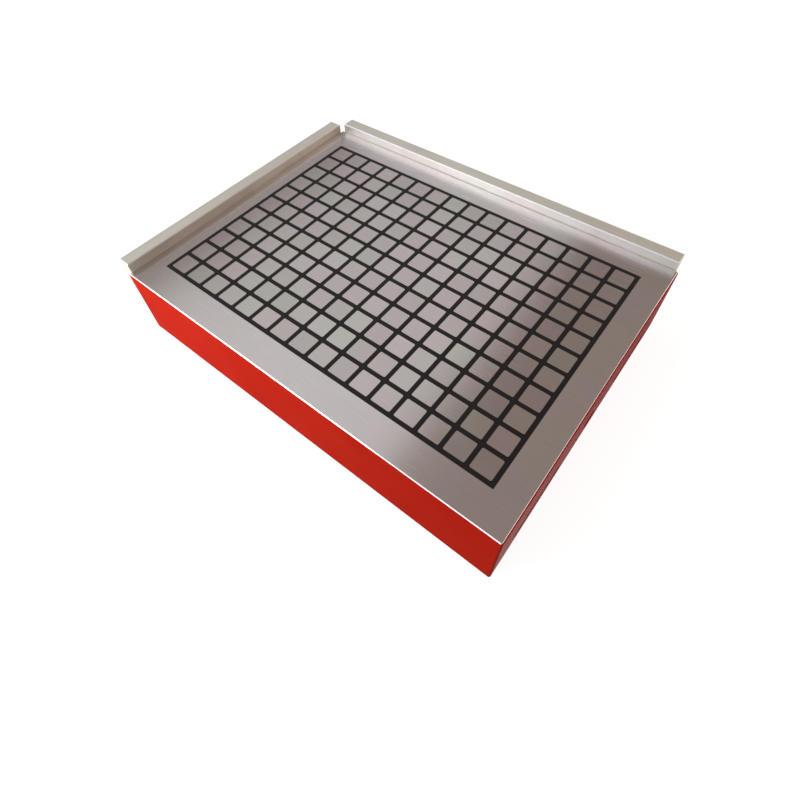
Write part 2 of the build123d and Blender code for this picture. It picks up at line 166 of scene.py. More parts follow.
def noise(tree, place, size, stretch=(1, 1, 1), detail=3.0):
    """Noise with features of that size, drawn out along each axis by stretch."""
    scale = [1 / (size * part) for part in stretch]
    mapped = add_node(tree, "Mapping", inputs={"Vector": place, "Scale": scale})
    inputs = {"Vector": mapped, "Scale": 1.0, "Detail": detail}
    return add_node(tree, "TexNoise", inputs=inputs, output="Fac")


print("a red in linear light:", [round(c, 3) for c in linear("#d22b14")])

# %% [markdown]
# ## Ground steel
#
# The working face is finished on a surface grinder, which leaves fine parallel scratches along
# the table's travel and a soft sheen. Real scratches are about 0.05 mm apart, too fine for a
# picture in which a millimetre is about a pixel, so they are drawn 0.6 mm apart and very
# shallow. The finer ones, which can't be drawn, keep a reflection sharp along them and smear it
# across them, and the shader's anisotropy does the same. Slow changes of tone stand for the
# faint cloudiness of a surface that has been wiped with oil, and a weak tint that goes from pink
# to green is the film of oil itself. The rails are ground more coarsely and wiped nearly dry.
# What stays on them is a dull skin, so they are rougher and a little less metallic.

# %% Ground steel
SCRATCH_SPACING = 0.6 * MM
SCRATCH_STRETCH = {"x": (60, 1, 60), "y": (1, 60, 60)}
SCRATCH_DEPTH = 0.02 * MM
CLOUD_SIZE = 45 * MM
OIL_PATCH_SIZE = 50 * MM
OIL_PINK = "#fffafb"
OIL_GREEN = "#fafdf9"
FINE_MARKS = 0.8
RAIL_LIGHT = "#efe9dd"
RAIL_DARK = "#d3cbbe"
RAIL_ROUGH = 0.42
RAIL_METALLIC = 0.72
RAIL_OIL = 0.35


def ground_steel_nodes(tree, place, light, dark, along="x", rough=0.25, oil=1.0):
    """Colour, roughness and bump of steel ground along one axis, under more or less oil."""
    light, dark = linear(light), linear(dark)
    scratches = noise(tree, place, SCRATCH_SPACING, SCRATCH_STRETCH[along])
    clouds = noise(tree, place, CLOUD_SIZE, detail=2.0)
    tone = add_node(tree, "Mix", MIX_COLOURS, {0: clouds, 6: dark, 7: light}, 2)
    streaks = add_node(tree, "MapRange", inputs={"Value": scratches, "From Min": 0.3, "From Max": 0.7})
    ground = add_node(tree, "Mix", MIX_COLOURS, {0: streaks, 6: tone, 7: light}, 2)
    patches = noise(tree, place, OIL_PATCH_SIZE, detail=1.0)
    film = add_node(tree, "MapRange", inputs={"Value": patches, "From Min": 0.42, "From Max": 0.58})
    tint = add_node(tree, "Mix", MIX_COLOURS, {0: film, 6: linear(OIL_PINK), 7: linear(OIL_GREEN)}, 2)
    colour = add_node(tree, "Mix", MULTIPLY_COLOURS, {0: oil, 6: ground, 7: tint}, 2)
    roughness = add_node(tree, "Mix", MIX_VALUES, {0: scratches, 2: rough - 0.06, 3: rough + 0.06})
    relief = {"Height": scratches, "Strength": 0.08, "Distance": SCRATCH_DEPTH}
    return colour, roughness, add_node(tree, "Bump", inputs=relief)


def grind_along_x(tree, shader):
    """Keeps reflections sharp along X, the grinder's travel, and smears them along Y."""
    across = add_node(tree, "CombineXYZ", inputs={"Y": 1.0})
    feed(tree, shader, {"Tangent": across})
    shader.inputs["Anisotropic"].default_value = FINE_MARKS


def rail_steel(along):
    """The bare steel of a rail, ground along its length."""
    material, tree, shader, place = new_material("rail_steel_along_" + along)
    colour, roughness, bump = ground_steel_nodes(
        tree, place, RAIL_LIGHT, RAIL_DARK, along, RAIL_ROUGH, RAIL_OIL
    )
    feed(tree, shader, {"Base Color": colour, "Roughness": roughness, "Normal": bump})
    shader.inputs["Metallic"].default_value = RAIL_METALLIC
    return material


rail_steel_x = rail_steel("x")
rail_steel_y = rail_steel("y")
print("rail steel:", len(rail_steel_x.node_tree.nodes), "nodes")

# %% [markdown]
# ## Pole steel
#
# Each pole was cut and set on its own, so neighbours differ a little in tone and in tint. Snapping
# the coordinates to the pole spacing gives every pole random numbers of its own. One of them makes
# its colour 4 to 17 percent darker, and another one makes it pinker or greener.

# %% Pole steel
TOP_LIGHT = "#d0c8c6"
TOP_DARK = "#c4bcba"
DARKEST_POLE = "#ecebeb"
LIGHTEST_POLE = "#fafafa"
PINKEST_POLE = "#fffbfc"
GREENEST_POLE = "#fafcf9"


def pole_steel():
    """Ground steel with a tone of its own for each pole."""
    material, tree, shader, place = new_material("pole_steel")
    colour, roughness, bump = ground_steel_nodes(tree, place, TOP_LIGHT, TOP_DARK)
    corner = Vector((first_row_low.x, first_row_low.y, 0)) - Vector((1, 1, 0)) * line_half
    moved = add_node(tree, "VectorMath", {"operation": "SUBTRACT"}, {0: place, 1: corner})
    spacing = (pole_spacing, pole_spacing, 1.0)
    cell = add_node(tree, "VectorMath", {"operation": "SNAP"}, {0: moved, 1: spacing})
    lot = add_node(tree, "TexWhiteNoise", inputs={"Vector": cell}, output="Color")
    first, second, _ = add_node(tree, "SeparateColor", inputs={0: lot}).node.outputs
    shades = {0: first, 6: linear(DARKEST_POLE), 7: linear(LIGHTEST_POLE)}
    shade = add_node(tree, "Mix", MIX_COLOURS, shades, 2)
    tints = {0: second, 6: linear(PINKEST_POLE), 7: linear(GREENEST_POLE)}
    tint = add_node(tree, "Mix", MIX_COLOURS, tints, 2)
    own_tone = add_node(tree, "Mix", MULTIPLY_COLOURS, {0: 1.0, 6: shade, 7: tint}, 2)
    toned = add_node(tree, "Mix", MULTIPLY_COLOURS, {0: 1.0, 6: colour, 7: own_tone}, 2)
    feed(tree, shader, {"Base Color": toned, "Roughness": roughness, "Normal": bump})
    shader.inputs["Metallic"].default_value = 1.0
    grind_along_x(tree, shader)
    return material


pole_material = pole_steel()
print("pole steel:", len(pole_material.node_tree.nodes), "nodes")

# %% [markdown]
# ## Red enamel over the housing
#
# The block is sprayed with stoving enamel and its top is ground afterwards, so the paint ends in
# a sharp line at the chamfer. One material holds both finishes. The height of a point on the
# block picks one of them, which gives a crisp border with no extra piece. Along the front the
# upper half of the chamfer is bare, at the right end it keeps more of its paint, and under the
# rails all of it is bare, because they sit on ground seats. The bare chamfer is given a lighter
# colour than the top: a painted highlight along the edge. The enamel is smooth but not flat: it has a
# slight orange peel, a few millimetres across. In the photograph it mirrors nothing of the white
# studio, which would turn it pink, so its gloss is all but off.

# %% Housing material
CHAMFER = 1.2 * MM
BARE_IN_FRONT = 0.62 * MM
BARE_AT_RIGHT_END = 0.35 * MM
BARE_UNDER_RAILS = 1.3 * MM
TOP_TOLERANCE = 0.03 * MM
# The chamfer's lighter colour is a painted highlight along the ground edge.
CHAMFER_PAINTED_HIGHLIGHT = "#f9ece7"
TOP_OIL = 0.5
ENAMEL_DARK = "#be1c0b"
ENAMEL_LIGHT = "#d22b14"
ENAMEL_ROUGH = 0.3
ENAMEL_GLOSS = 0.001
SPRAY_SIZE = 70 * MM
PEEL_SIZE = 2.5 * MM
PEEL_DEPTH = 0.05 * MM
IS_MORE = {"operation": "GREATER_THAN"}


def bare_steel(tree, place):
    """Sockets that are 1 on the bare steel of the housing, and on its top face alone."""
    x, y, z = add_node(tree, "SeparateXYZ", inputs={0: place}).node.outputs
    at_right_end = add_node(tree, "Math", IS_MORE, {0: x, 1: housing_high.x - CHAMFER})
    at_back_rail = add_node(tree, "Math", IS_MORE, {0: y, 1: housing_high.y - CHAMFER})
    off_left_rail = add_node(tree, "Math", IS_MORE, {0: x, 1: housing_low.x + CHAMFER})
    left_or_front = {0: off_left_rail, 2: BARE_UNDER_RAILS, 3: BARE_IN_FRONT}
    bare_depth = add_node(tree, "Mix", MIX_VALUES, left_or_front)
    bare_depth = add_node(tree, "Mix", MIX_VALUES, {0: at_right_end, 2: bare_depth, 3: BARE_AT_RIGHT_END})
    bare_depth = add_node(tree, "Mix", MIX_VALUES, {0: at_back_rail, 2: bare_depth, 3: BARE_UNDER_RAILS})
    depth = add_node(tree, "Math", {"operation": "SUBTRACT"}, {0: top_z, 1: z})
    painted = add_node(tree, "Math", IS_MORE, {0: depth, 1: bare_depth})
    bare = add_node(tree, "Math", {"operation": "SUBTRACT"}, {0: 1.0, 1: painted})
    on_top = add_node(tree, "Math", IS_MORE, {0: z, 1: top_z - TOP_TOLERANCE})
    return bare, on_top


def housing_finish():
    """Red enamel on the sides and bare ground steel on the top face and its chamfer."""
    material, tree, shader, place = new_material("red_enamel_on_steel")
    steel, steel_rough, steel_bump = ground_steel_nodes(tree, place, TOP_LIGHT, TOP_DARK, oil=TOP_OIL)
    spray = noise(tree, place, SPRAY_SIZE, detail=1.0)
    reds = {0: spray, 6: linear(ENAMEL_DARK), 7: linear(ENAMEL_LIGHT)}
    enamel = add_node(tree, "Mix", MIX_COLOURS, reds, 2)
    peel = noise(tree, place, PEEL_SIZE, detail=1.0)
    relief = {"Height": peel, "Strength": 0.08, "Distance": PEEL_DEPTH}
    enamel_bump = add_node(tree, "Bump", inputs=relief)
    bare, on_top = bare_steel(tree, place)
    # Off the top face, the bare chamfer takes a lighter colour: a painted highlight along the edge.
    steel = add_node(tree, "Mix", MIX_COLOURS, {0: on_top, 6: linear(CHAMFER_PAINTED_HIGHLIGHT), 7: steel}, 2)
    colour = add_node(tree, "Mix", MIX_COLOURS, {0: bare, 6: enamel, 7: steel}, 2)
    roughness = add_node(tree, "Mix", MIX_VALUES, {0: bare, 2: ENAMEL_ROUGH, 3: steel_rough})
    normal = add_node(tree, "Mix", MIX_VECTORS, {0: bare, 4: enamel_bump, 5: steel_bump}, 1)
    feed(tree, shader, {"Base Color": colour, "Roughness": roughness, "Metallic": bare, "Normal": normal})
    shader.inputs["Specular IOR Level"].default_value = ENAMEL_GLOSS
    grind_along_x(tree, shader)
    return material


housing_material = housing_finish()
print("housing material:", len(housing_material.node_tree.nodes), "nodes")

# %% [markdown]
# ## Black resin
#
# The gaps between the poles are filled with black epoxy and ground flush with them. Ground
# resin isn't quite black: dust and light turn it a warm dark brown with a low sheen.

# %% Black resin
RESIN_GRAIN = 1.2 * MM
RESIN_RELIEF = 0.05 * MM


def black_resin():
    """Cast epoxy, ground flush."""
    material, tree, shader, place = new_material("black_resin")
    grain = noise(tree, place, RESIN_GRAIN, detail=4.0)
    browns = {0: grain, 6: linear("#120c0b"), 7: linear("#1f1715")}
    colour = add_node(tree, "Mix", MIX_COLOURS, browns, 2)
    roughness = add_node(tree, "Mix", MIX_VALUES, {0: grain, 2: 0.38, 3: 0.55})
    relief = {"Height": grain, "Strength": 0.15, "Distance": RESIN_RELIEF}
    bump = add_node(tree, "Bump", inputs=relief)
    feed(tree, shader, {"Base Color": colour, "Roughness": roughness, "Normal": bump})
    shader.inputs["Specular IOR Level"].default_value = 0.3
    return material


resin_material = black_resin()
print("resin:", len(resin_material.node_tree.nodes), "nodes")

# %% [markdown]
# ## The other metals, and rubber
#
# The underside and the mechanism are milled or turned steel, brass, bronze and aluminium. They
# share one recipe, tool marks as stretched noise, and differ in colour, roughness and in the
# direction of the marks. Black oxide on the screws is a thin dark skin that stays metallic.

# %% Machined metals and rubber
FINE_TOOL = 0.5 * MM
COARSE_TOOL = 0.8 * MM
PLATING_GRAIN = 1.5 * MM
MILLED = (12, 1, 12)
TURNED = (1, 12, 12)
EVEN = (1, 1, 1)
TOOL_MARK_DEPTH = 0.03 * MM
DULL_GRAIN = 0.8 * MM
DULL_GRAIN_DEPTH = 0.05 * MM


def machined_metal(name, light, dark, rough, mark_size=COARSE_TOOL, stretch=MILLED):
    """Bare metal with the marks of a milling cutter or a lathe tool."""
    material, tree, shader, place = new_material(name)
    marks = noise(tree, place, mark_size, stretch)
    colour = add_node(tree, "Mix", MIX_COLOURS, {0: marks, 6: linear(dark), 7: linear(light)}, 2)
    roughness = add_node(tree, "Mix", MIX_VALUES, {0: marks, 2: rough - 0.08, 3: rough + 0.08})
    relief = {"Height": marks, "Strength": 0.2, "Distance": TOOL_MARK_DEPTH}
    bump = add_node(tree, "Bump", inputs=relief)
    feed(tree, shader, {"Base Color": colour, "Roughness": roughness, "Normal": bump})
    shader.inputs["Metallic"].default_value = 1.0
    return material


def matt_solid(name, light, dark, rough):
    """A dull solid such as rubber or sintered ferrite."""
    material, tree, shader, place = new_material(name)
    grain = noise(tree, place, DULL_GRAIN, detail=4.0)
    colour = add_node(tree, "Mix", MIX_COLOURS, {0: grain, 6: linear(dark), 7: linear(light)}, 2)
    relief = {"Height": grain, "Strength": 0.2, "Distance": DULL_GRAIN_DEPTH}
    bump = add_node(tree, "Bump", inputs=relief)
    feed(tree, shader, {"Base Color": colour, "Normal": bump})
    shader.inputs["Roughness"].default_value = rough
    return material


milled_steel = machined_metal("milled_steel", "#a5a39f", "#8f8d89", 0.4)
turned_steel = machined_metal("turned_steel", "#b9b8b6", "#a3a2a0", 0.28, FINE_TOOL, TURNED)
black_oxide = machined_metal("black_oxide_steel", "#3b3a3c", "#2a292b", 0.42, FINE_TOOL, EVEN)
sheet_brass = machined_metal("sheet_brass", "#d2b06a", "#bf9b55", 0.32)
bush_bronze = machined_metal("bush_bronze", "#b98550", "#a37142", 0.34, FINE_TOOL, TURNED)
frame_aluminium = machined_metal("frame_aluminium", "#d3d3d5", "#bfbfc2", 0.34)
magnet_nickel = machined_metal("magnet_nickel", "#c8c3b8", "#b3aea3", 0.25, PLATING_GRAIN, EVEN)
ferrite = matt_solid("ferrite", "#3a3a3d", "#2b2b2e", 0.7)
seal_rubber = matt_solid("seal_rubber", "#1c1c1d", "#121213", 0.75)
print("materials so far:", len(bpy.data.materials))

# %% [markdown]
# ## Finishes for the CAD pieces
#
# A piece whose shape is already right only needs its material. The table below gives each one
# its finish by name.

# %% Finish the CAD pieces
finishes = {
    "housing": housing_material,
    "left_stop_rail": rail_steel_y,
    "back_stop_rail": rail_steel_x,
    "tray_yoke": milled_steel,
    "bearing_block": milled_steel,
    "switch_shaft": turned_steel,
    "stop_pin": turned_steel,
    "drive_rack_left": turned_steel,
    "drive_rack_right": turned_steel,
    "left_stop_screws": black_oxide,
    "back_stop_screws": black_oxide,
    "separator_sheet": sheet_brass,
    "guide_strip_left": sheet_brass,
    "guide_strip_right": sheet_brass,
    "shaft_bush": bush_bronze,
    "end_bush": bush_bronze,
    "tray_frame": frame_aluminium,
    "moving_magnets_north": magnet_nickel,
    "moving_magnets_south": magnet_nickel,
    "fixed_magnets": ferrite,
    "base_seal": seal_rubber,
    "shaft_seal": seal_rubber,
}
for name, material in finishes.items():
    for slot in nodes[name].material_slots:
        slot.material = material
print("finished:", len(finishes), "pieces")

# %% [markdown]
# ## Making a piece
#
# A new piece is shaped in a bmesh and then becomes an object at the origin, because its place
# is in its mesh. It rides on a body, takes a material, and may stand for CAD nodes.

# %% Helper for new pieces


def new_piece(name, mesh_data, material, body, replaced=()):
    """An object from a bmesh, which rides on a body and stands for the nodes it replaces."""
    bmesh.ops.recalc_face_normals(mesh_data, faces=mesh_data.faces)
    mesh = bpy.data.meshes.new(name)
    mesh_data.to_mesh(mesh)
    mesh_data.free()
    mesh.materials.append(material)
    piece = bpy.data.objects.new(name, mesh)
    scene.collection.objects.link(piece)
    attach(piece, body)
    if replaced:
        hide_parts(*replaced)
    return piece


# %% [markdown]
# ## Poles with rounded corners
#
# The poles are cut from square bar with slightly rounded corners, which the flat view of the
# face shows at every crossing of the black lines. A cube is scaled to the bar's section and its
# four upright edges are bevelled round. The grinding wheel leaves the top edge sharp, because the
# resin holds it, so the top gets no bevel. Each row is one piece of sixteen such bars.

# %% Poles
CORNER_RADIUS = 1.1 * MM


def pole_bar(mesh_data, centre, height):
    """One pole, with its middle at the centre."""
    shape = Matrix.Translation(centre) @ Matrix.Diagonal((pole_size, pole_size, height, 1))
    cube = bmesh.ops.create_cube(mesh_data, size=1.0, matrix=shape)
    edges = {edge for vert in cube["verts"] for edge in vert.link_edges}
    upright = [edge for edge in edges if abs((edge.verts[0].co - edge.verts[1].co).z) > height / 2]
    bmesh.ops.bevel(
        mesh_data,
        geom=upright,
        offset=CORNER_RADIUS,
        offset_type="OFFSET",
        affect="EDGES",
        segments=4,
        profile=0.5,
        material=-1,
    )


for row_name in row_names:
    row_low, row_high = as_vectors(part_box(row_name))
    middle = (row_low + row_high) / 2
    row_height = row_high.z - row_low.z
    row_mesh = bmesh.new()
    for column in range(pole_columns):
        x = row_low.x + pole_size / 2 + column * pole_spacing
        pole_bar(row_mesh, Vector((x, middle.y, middle.z)), row_height)
    piece_name = row_name.replace("pole_row", "poles")
    new_piece(piece_name, row_mesh, pole_material, "housing_body", [row_name])
print("rows of poles:", len(row_names))

# %% [markdown]
# ## The resin between the poles
#
# The resin is one casting with a square hole for each pole. A grid has one face for each pole,
# every face is inset by half a line, and the inner faces are taken out. The border of the grid
# is then pushed out to the edge of the window, and the sheet is extruded down. The holes are a
# little smaller than the poles, so that resin also fills the space at their rounded corners. The
# wheel cuts resin faster than steel, so its top lies a few hundredths of a millimetre deeper.

# %% Resin
HOLE_OVERLAP = 0.5 * MM
RESIN_BELOW_TOP = 0.04 * MM
BORDER_TOLERANCE = 0.1 * MM

resin_mesh = bmesh.new()
field_middle = (resin_low + resin_high) / 2
grid_size = Vector((pole_columns, len(row_names), 0)) * pole_spacing
bmesh.ops.create_grid(resin_mesh, x_segments=pole_columns, y_segments=len(row_names), size=0.5)
bmesh.ops.scale(resin_mesh, vec=(grid_size.x, grid_size.y, 1), verts=resin_mesh.verts)
cells = list(resin_mesh.faces)
bmesh.ops.inset_individual(resin_mesh, faces=cells, thickness=line_half + HOLE_OVERLAP)
bmesh.ops.delete(resin_mesh, geom=cells, context="FACES_ONLY")
for vert in resin_mesh.verts:
    for axis in (0, 1):
        if abs(vert.co[axis]) > grid_size[axis] / 2 - BORDER_TOLERANCE:
            vert.co[axis] += math.copysign(line_half, vert.co[axis])
resin_top = resin_high.z - RESIN_BELOW_TOP
top_middle = (field_middle.x, field_middle.y, resin_top)
bmesh.ops.translate(resin_mesh, vec=top_middle, verts=resin_mesh.verts)
lower = bmesh.ops.extrude_face_region(resin_mesh, geom=list(resin_mesh.faces), use_keep_orig=True)
lower_verts = [part for part in lower["geom"] if isinstance(part, bmesh.types.BMVert)]
bmesh.ops.translate(resin_mesh, vec=(0, 0, resin_low.z - resin_top), verts=lower_verts)
print("holes in the resin:", len(cells))
new_piece("resin_casting", resin_mesh, resin_material, "housing_body", ["resin_grid"])

# %% [markdown]
# ## Screws
#
# Small screws hold the base plate, the bearing block and the round cover. Each has a hexagon
# socket. A screw could be a cylinder with a hole cut in it, but two loops of 24 points are
# simpler: one is the rim of the head, the other is pushed out to a hexagon, and a bridge between
# them makes the head's flat top. Both loops are then pulled down, the inner one into the socket
# and the outer one along the outline of the head and the shank. An outline lists radii and
# depths in millimetres.

# %% Helpers for screws
SCREW_POINTS = 24
CAP_SCREW_M6 = {
    "outline_mm": [(4.6, 0), (5, 0.4), (5, 6), (3, 6), (3, 16)],
    "key_mm": 5,
    "socket_mm": 3,
}
CAP_SCREW_M5 = {
    "outline_mm": [(3.9, 0), (4.25, 0.35), (4.25, 5), (2.5, 5), (2.5, 14)],
    "key_mm": 4,
    "socket_mm": 2.5,
}
FLAT_SCREW_M3 = {
    "outline_mm": [(2.9, 0), (3, 0.15), (1.5, 1.65), (1.5, 8)],
    "key_mm": 2,
    "socket_mm": 1.1,
}


def pull_loop(mesh_data, edges, scale, down):
    """Extrudes a loop of edges, scales the new loop about the Z axis and moves it down."""
    pulled = bmesh.ops.extrude_edge_only(mesh_data, edges=edges)["geom"]
    verts = [part for part in pulled if isinstance(part, bmesh.types.BMVert)]
    bmesh.ops.scale(mesh_data, vec=(scale, scale, 1), verts=verts)
    bmesh.ops.translate(mesh_data, vec=(0, 0, -down), verts=verts)
    return verts, [edge for edge in mesh_data.edges if all(vert in verts for vert in edge.verts)]


def add_screw(mesh_data, place, outward, outline_mm, key_mm, socket_mm):
    """A screw with its head's top at the place, drawn from its rim down."""
    screw = bmesh.new()
    rim_radius = outline_mm[0][0] * MM
    rim = bmesh.ops.create_circle(screw, segments=SCREW_POINTS, radius=rim_radius)["verts"]
    key = bmesh.ops.create_circle(screw, segments=SCREW_POINTS, radius=key_mm / 2 * MM)["verts"]
    for vert in key:
        turn_in_flat = math.atan2(vert.co.y, vert.co.x) % (math.pi / 3) - math.pi / 6
        vert.co /= math.cos(turn_in_flat)
    rim_edges = [edge for edge in screw.edges if edge.verts[0] in rim]
    key_edges = [edge for edge in screw.edges if edge.verts[0] in key]
    bmesh.ops.bridge_loops(screw, edges=rim_edges + key_edges)
    socket_verts, _ = pull_loop(screw, key_edges, 1, socket_mm * MM)
    bmesh.ops.contextual_create(screw, geom=socket_verts)
    loop = rim_edges
    for (radius, depth), (next_radius, next_depth) in zip(outline_mm, outline_mm[1:]):
        loop_verts, loop = pull_loop(screw, loop, next_radius / radius, (next_depth - depth) * MM)
    bmesh.ops.contextual_create(screw, geom=loop_verts)
    bmesh.ops.recalc_face_normals(screw, faces=screw.faces)
    turn_out = Vector(outward).to_track_quat("Z", "Y").to_matrix().to_4x4()
    bmesh.ops.transform(screw, matrix=Matrix.Translation(place) @ turn_out, verts=screw.verts)
    mesh = bpy.data.meshes.new("screw")
    screw.to_mesh(mesh)
    screw.free()
    mesh_data.from_mesh(mesh)
    bpy.data.meshes.remove(mesh)


for screw in (CAP_SCREW_M6, CAP_SCREW_M5, FLAT_SCREW_M3):
    print("screw head:", 2 * screw["outline_mm"][1][0], "mm wide, key:", screw["key_mm"], "mm")

# %% [markdown]
# ## Holes in CAD plates
#
# A CAD node's mesh isn't changed. Where its plate needs a hole for a small screw, a copy of the
# mesh gets it and stands for the node. The copy is loose triangles at first, so its doubles are
# merged, and a Boolean modifier with a round cutter makes the holes.

# %% Helpers for holes
SAME_POINT = 0.001 * MM
FLAT_ANGLE = math.radians(0.1)
HOLE_POINTS = 48


def cad_copy(name):
    """A CAD node's mesh as a bmesh, with its loose triangles joined and flat faces made one."""
    copied = bmesh.new()
    copied.from_mesh(nodes[name].data)
    bmesh.ops.remove_doubles(copied, verts=copied.verts, dist=SAME_POINT)
    bmesh.ops.dissolve_limit(
        copied, angle_limit=FLAT_ANGLE, verts=copied.verts, edges=copied.edges
    )
    return copied


def add_cone(mesh_data, place, outward, outer_radius, inner_radius, depth):
    """A cutter for one hole, which goes inwards from the place by the depth."""
    turn_in = Vector(outward).to_track_quat("Z", "Y").to_matrix().to_4x4()
    middle = Vector(place) - Vector(outward) * depth / 2
    bmesh.ops.create_cone(
        mesh_data,
        cap_ends=True,
        segments=HOLE_POINTS,
        radius1=inner_radius,
        radius2=outer_radius,
        depth=depth,
        matrix=Matrix.Translation(middle) @ turn_in,
    )


def cut_away(mesh_data, cutter_data):
    """The first bmesh without the space of the second one."""
    shapes = []
    for title, data in (("plate", mesh_data), ("cutter", cutter_data)):
        mesh = bpy.data.meshes.new(title)
        data.to_mesh(mesh)
        data.free()
        shapes.append(bpy.data.objects.new(title, mesh))
        scene.collection.objects.link(shapes[-1])
    plate, cutter = shapes
    modifier = plate.modifiers.new("holes", "BOOLEAN")
    modifier.operation = "DIFFERENCE"
    modifier.solver = "EXACT"
    modifier.object = cutter
    graph = bpy.context.evaluated_depsgraph_get()
    holed = bpy.data.meshes.new_from_object(plate.evaluated_get(graph))
    result = bmesh.new()
    result.from_mesh(holed)
    bpy.data.meshes.remove(holed)
    for shape in shapes:
        mesh = shape.data
        bpy.data.objects.remove(shape)
        bpy.data.meshes.remove(mesh)
    return result


print("points round a hole:", HOLE_POINTS)

# %% [markdown]
# ## Base plate and its screws
#
# The photograph doesn't show the underside. A chuck of this kind is closed from below by a steel
# plate on socket head screws, sunk in counterbores so that it still stands flat. Eight go up into
# the walls, and two more hold the bearing block of the switch shaft.

# %% Base plate
HEAD_SUNK = 0.4 * MM
WALL_SCREW_FROM_SIDE = 13 * MM
WALL_SCREW_FROM_END = 25 * MM
WALL_SCREW_STEPS = (-1, -1 / 3, 1 / 3, 1)
BEARING_SCREW_FROM_AXIS = 12 * MM
BOTH_SIDES = (-1, 1)
COUNTERBORE_M6 = (5.3 * MM, 6.4 * MM)
COUNTERBORE_M5 = (4.55 * MM, 5.4 * MM)
DOWN = Vector((0, 0, -1))

bearing_low, bearing_high = as_vectors(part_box("bearing_block"))
bearing_x = (bearing_low.x + bearing_high.x) / 2
wall_y = housing_high.y - WALL_SCREW_FROM_SIDE
wall_x = housing_high.x - WALL_SCREW_FROM_END
wall_places = [(step * wall_x, side * wall_y) for step in WALL_SCREW_STEPS for side in BOTH_SIDES]
bearing_places = [(bearing_x, side * BEARING_SCREW_FROM_AXIS) for side in BOTH_SIDES]

plate_mesh = cad_copy("base_plate")
counterbores = bmesh.new()
for places, (radius, depth) in ((wall_places, COUNTERBORE_M6), (bearing_places, COUNTERBORE_M5)):
    for x, y in places:
        place = Vector((x, y, housing_low.z)) + DOWN * depth
        add_cone(counterbores, place, DOWN, radius, radius, 2 * depth)
new_piece(
    "bottom_plate",
    cut_away(plate_mesh, counterbores),
    milled_steel,
    "housing_body",
    ["base_plate"],
)

base_screw_mesh = bmesh.new()
for places, screw in ((wall_places, CAP_SCREW_M6), (bearing_places, CAP_SCREW_M5)):
    for x, y in places:
        place = Vector((x, y, housing_low.z)) - DOWN * HEAD_SUNK
        add_screw(base_screw_mesh, place, DOWN, **screw)
new_piece("base_screws", base_screw_mesh, black_oxide, "housing_body")
print("screws in the base plate:", len(wall_places) + len(bearing_places))

# %% [markdown]
# ## Round cover and its screws
#
# The cover in the right end holds the shaft's seal. It is a turned disc on three countersunk
# screws. It lies flush with the end and was sprayed with it, so it wears the same red enamel, and
# only the small chamfer of its rim shows that it is a piece of its own.

# %% Round cover
COVER_SCREW_CIRCLE = 15.5 * MM
COVER_SCREW_TURNS = (90, 210, 330)
COVER_SCREW_SUNK = 0.1 * MM
COVER_CHAMFER = 0.5 * MM
COUNTERSINK_M3 = (3.1 * MM, 1.5 * MM, 1.6 * MM)
FACE_TOLERANCE = 0.01 * MM
RIM_STARTS_AT = 0.95
OUTWARD = Vector((1, 0, 0))

cover_low, cover_high = as_vectors(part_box("socket_cover"))
cover_middle = (cover_low + cover_high) / 2
cover_radius = (cover_high.y - cover_low.y) / 2
cover_places = []
for turn_degrees in COVER_SCREW_TURNS:
    angle = math.radians(turn_degrees)
    across = Vector((0, math.cos(angle), math.sin(angle))) * COVER_SCREW_CIRCLE
    cover_places.append(Vector((cover_high.x, cover_middle.y, cover_middle.z)) + across)


def on_rim(vert):
    """Whether a vertex of the cover lies on the rim of its outer face."""
    on_face = vert.co.x > cover_high.x - FACE_TOLERANCE
    return on_face and (vert.co - cover_middle).yz.length > RIM_STARTS_AT * cover_radius


cover_mesh = cad_copy("socket_cover")
bmesh.ops.bevel(
    cover_mesh,
    geom=[edge for edge in cover_mesh.edges if all(on_rim(vert) for vert in edge.verts)],
    offset=COVER_CHAMFER,
    offset_type="OFFSET",
    affect="EDGES",
    segments=1,
    profile=0.5,
    material=-1,
)
countersinks = bmesh.new()
for place in cover_places:
    add_cone(countersinks, place, OUTWARD, *COUNTERSINK_M3)
new_piece(
    "cover_disc",
    cut_away(cover_mesh, countersinks),
    housing_material,
    "housing_body",
    ["socket_cover"],
)

cover_screw_mesh = bmesh.new()
for place in cover_places:
    add_screw(cover_screw_mesh, place - OUTWARD * COVER_SCREW_SUNK, OUTWARD, **FLAT_SCREW_M3)
new_piece("cover_screws", cover_screw_mesh, black_oxide, "housing_body")
print("screws in the cover:", len(cover_places))

# %% [markdown]
# ## Floor
#
# The floor is one large pale sheet. The camera, metal and glass see it white, because it glows for
# their rays, and it still takes the soft shadow of the chuck. For diffuse light it is a plain
# grey sheet, so that the glow doesn't light the chuck from below.

# %% Floor
FLOOR_REACH = 4.0
FLOOR_GLOW = 0.9


def mirrored_rays(path):
    """A socket that is 1 for what metal reflects and for what is seen through glass."""
    rays = {0: path.outputs["Is Glossy Ray"], 1: path.outputs["Is Transmission Ray"]}
    return add_node(path.id_data, "Math", {"operation": "MAXIMUM"}, rays)


floor_mesh = bmesh.new()
bmesh.ops.create_grid(floor_mesh, x_segments=1, y_segments=1, size=FLOOR_REACH)
bmesh.ops.translate(floor_mesh, vec=(0, 0, housing_low.z), verts=floor_mesh.verts)
floor_data = bpy.data.meshes.new("floor")
floor_mesh.to_mesh(floor_data)
floor_mesh.free()
floor = bpy.data.objects.new("floor", floor_data)
scene.collection.objects.link(floor)
floor_material, floor_tree, floor_shader, _ = new_material("pale_floor")
floor_shader.inputs["Base Color"].default_value = linear("#918d88")
floor_shader.inputs["Roughness"].default_value = 0.9
floor_shader.inputs["Specular IOR Level"].default_value = 0.0
floor_shader.inputs["Emission Color"].default_value = linear("#ffffff")
floor_path = add_node(floor_tree, "LightPath").node
seen_by = {0: floor_path.outputs["Is Camera Ray"], 1: mirrored_rays(floor_path)}
seen = add_node(floor_tree, "Math", {"operation": "MAXIMUM"}, seen_by)
